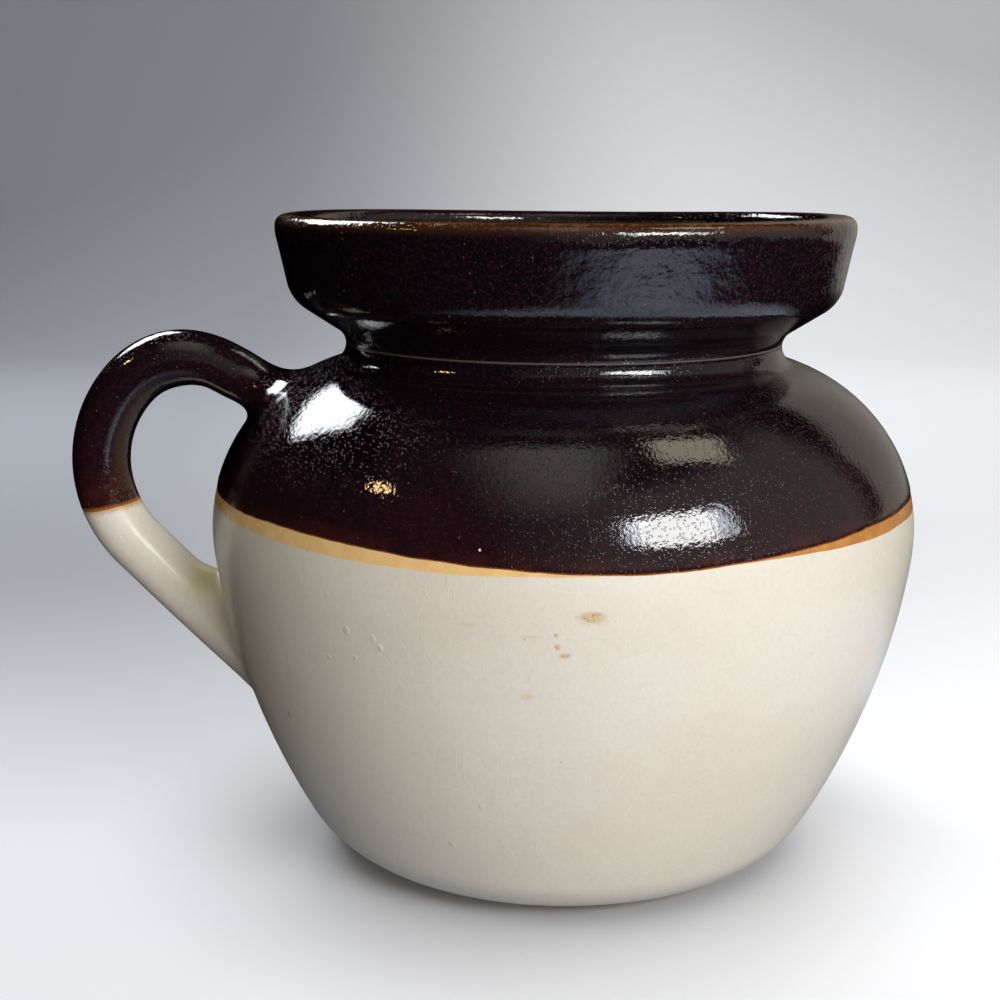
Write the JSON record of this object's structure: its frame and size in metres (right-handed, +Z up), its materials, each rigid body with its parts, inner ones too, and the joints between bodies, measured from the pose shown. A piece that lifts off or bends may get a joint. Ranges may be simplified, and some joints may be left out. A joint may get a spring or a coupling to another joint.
{
  "type": "stoneware bean pot",
  "caption": "Wide-bellied stoneware pot with a flared collar, a gallery for a lid and a looped side handle, glazed dark above and cream below.",
  "frame": {"origin": "centre of the flat foot, on the surface that the pot stands on", "axes": "+Z up along the pot's axis, handle on the -X side in the XZ plane"},
  "size_m": [0.2218, 0.184, 0.1665],
  "materials": {
    "stoneware": "bare fired clay, matt and slightly gritty",
    "dark_glaze": "brown-black glaze, high gloss, fine specks",
    "ochre_glaze": "ochre edge where two glazes run together, satin",
    "cream_glaze": "cream glaze, satin gloss, fine crazing and pits"
  },
  "bodies": {
    "root": {"body": "stoneware", "collar": "stoneware", "handle": "stoneware", "upper_luting": "stoneware", "lower_luting": "stoneware", "dark_glaze": "dark_glaze", "ochre_band": "ochre_glaze", "cream_glaze": "cream_glaze", "liner_glaze": "dark_glaze", "dark_glaze_handle": "dark_glaze", "cream_glaze_handle": "cream_glaze"}
  },
  "joints": []
}
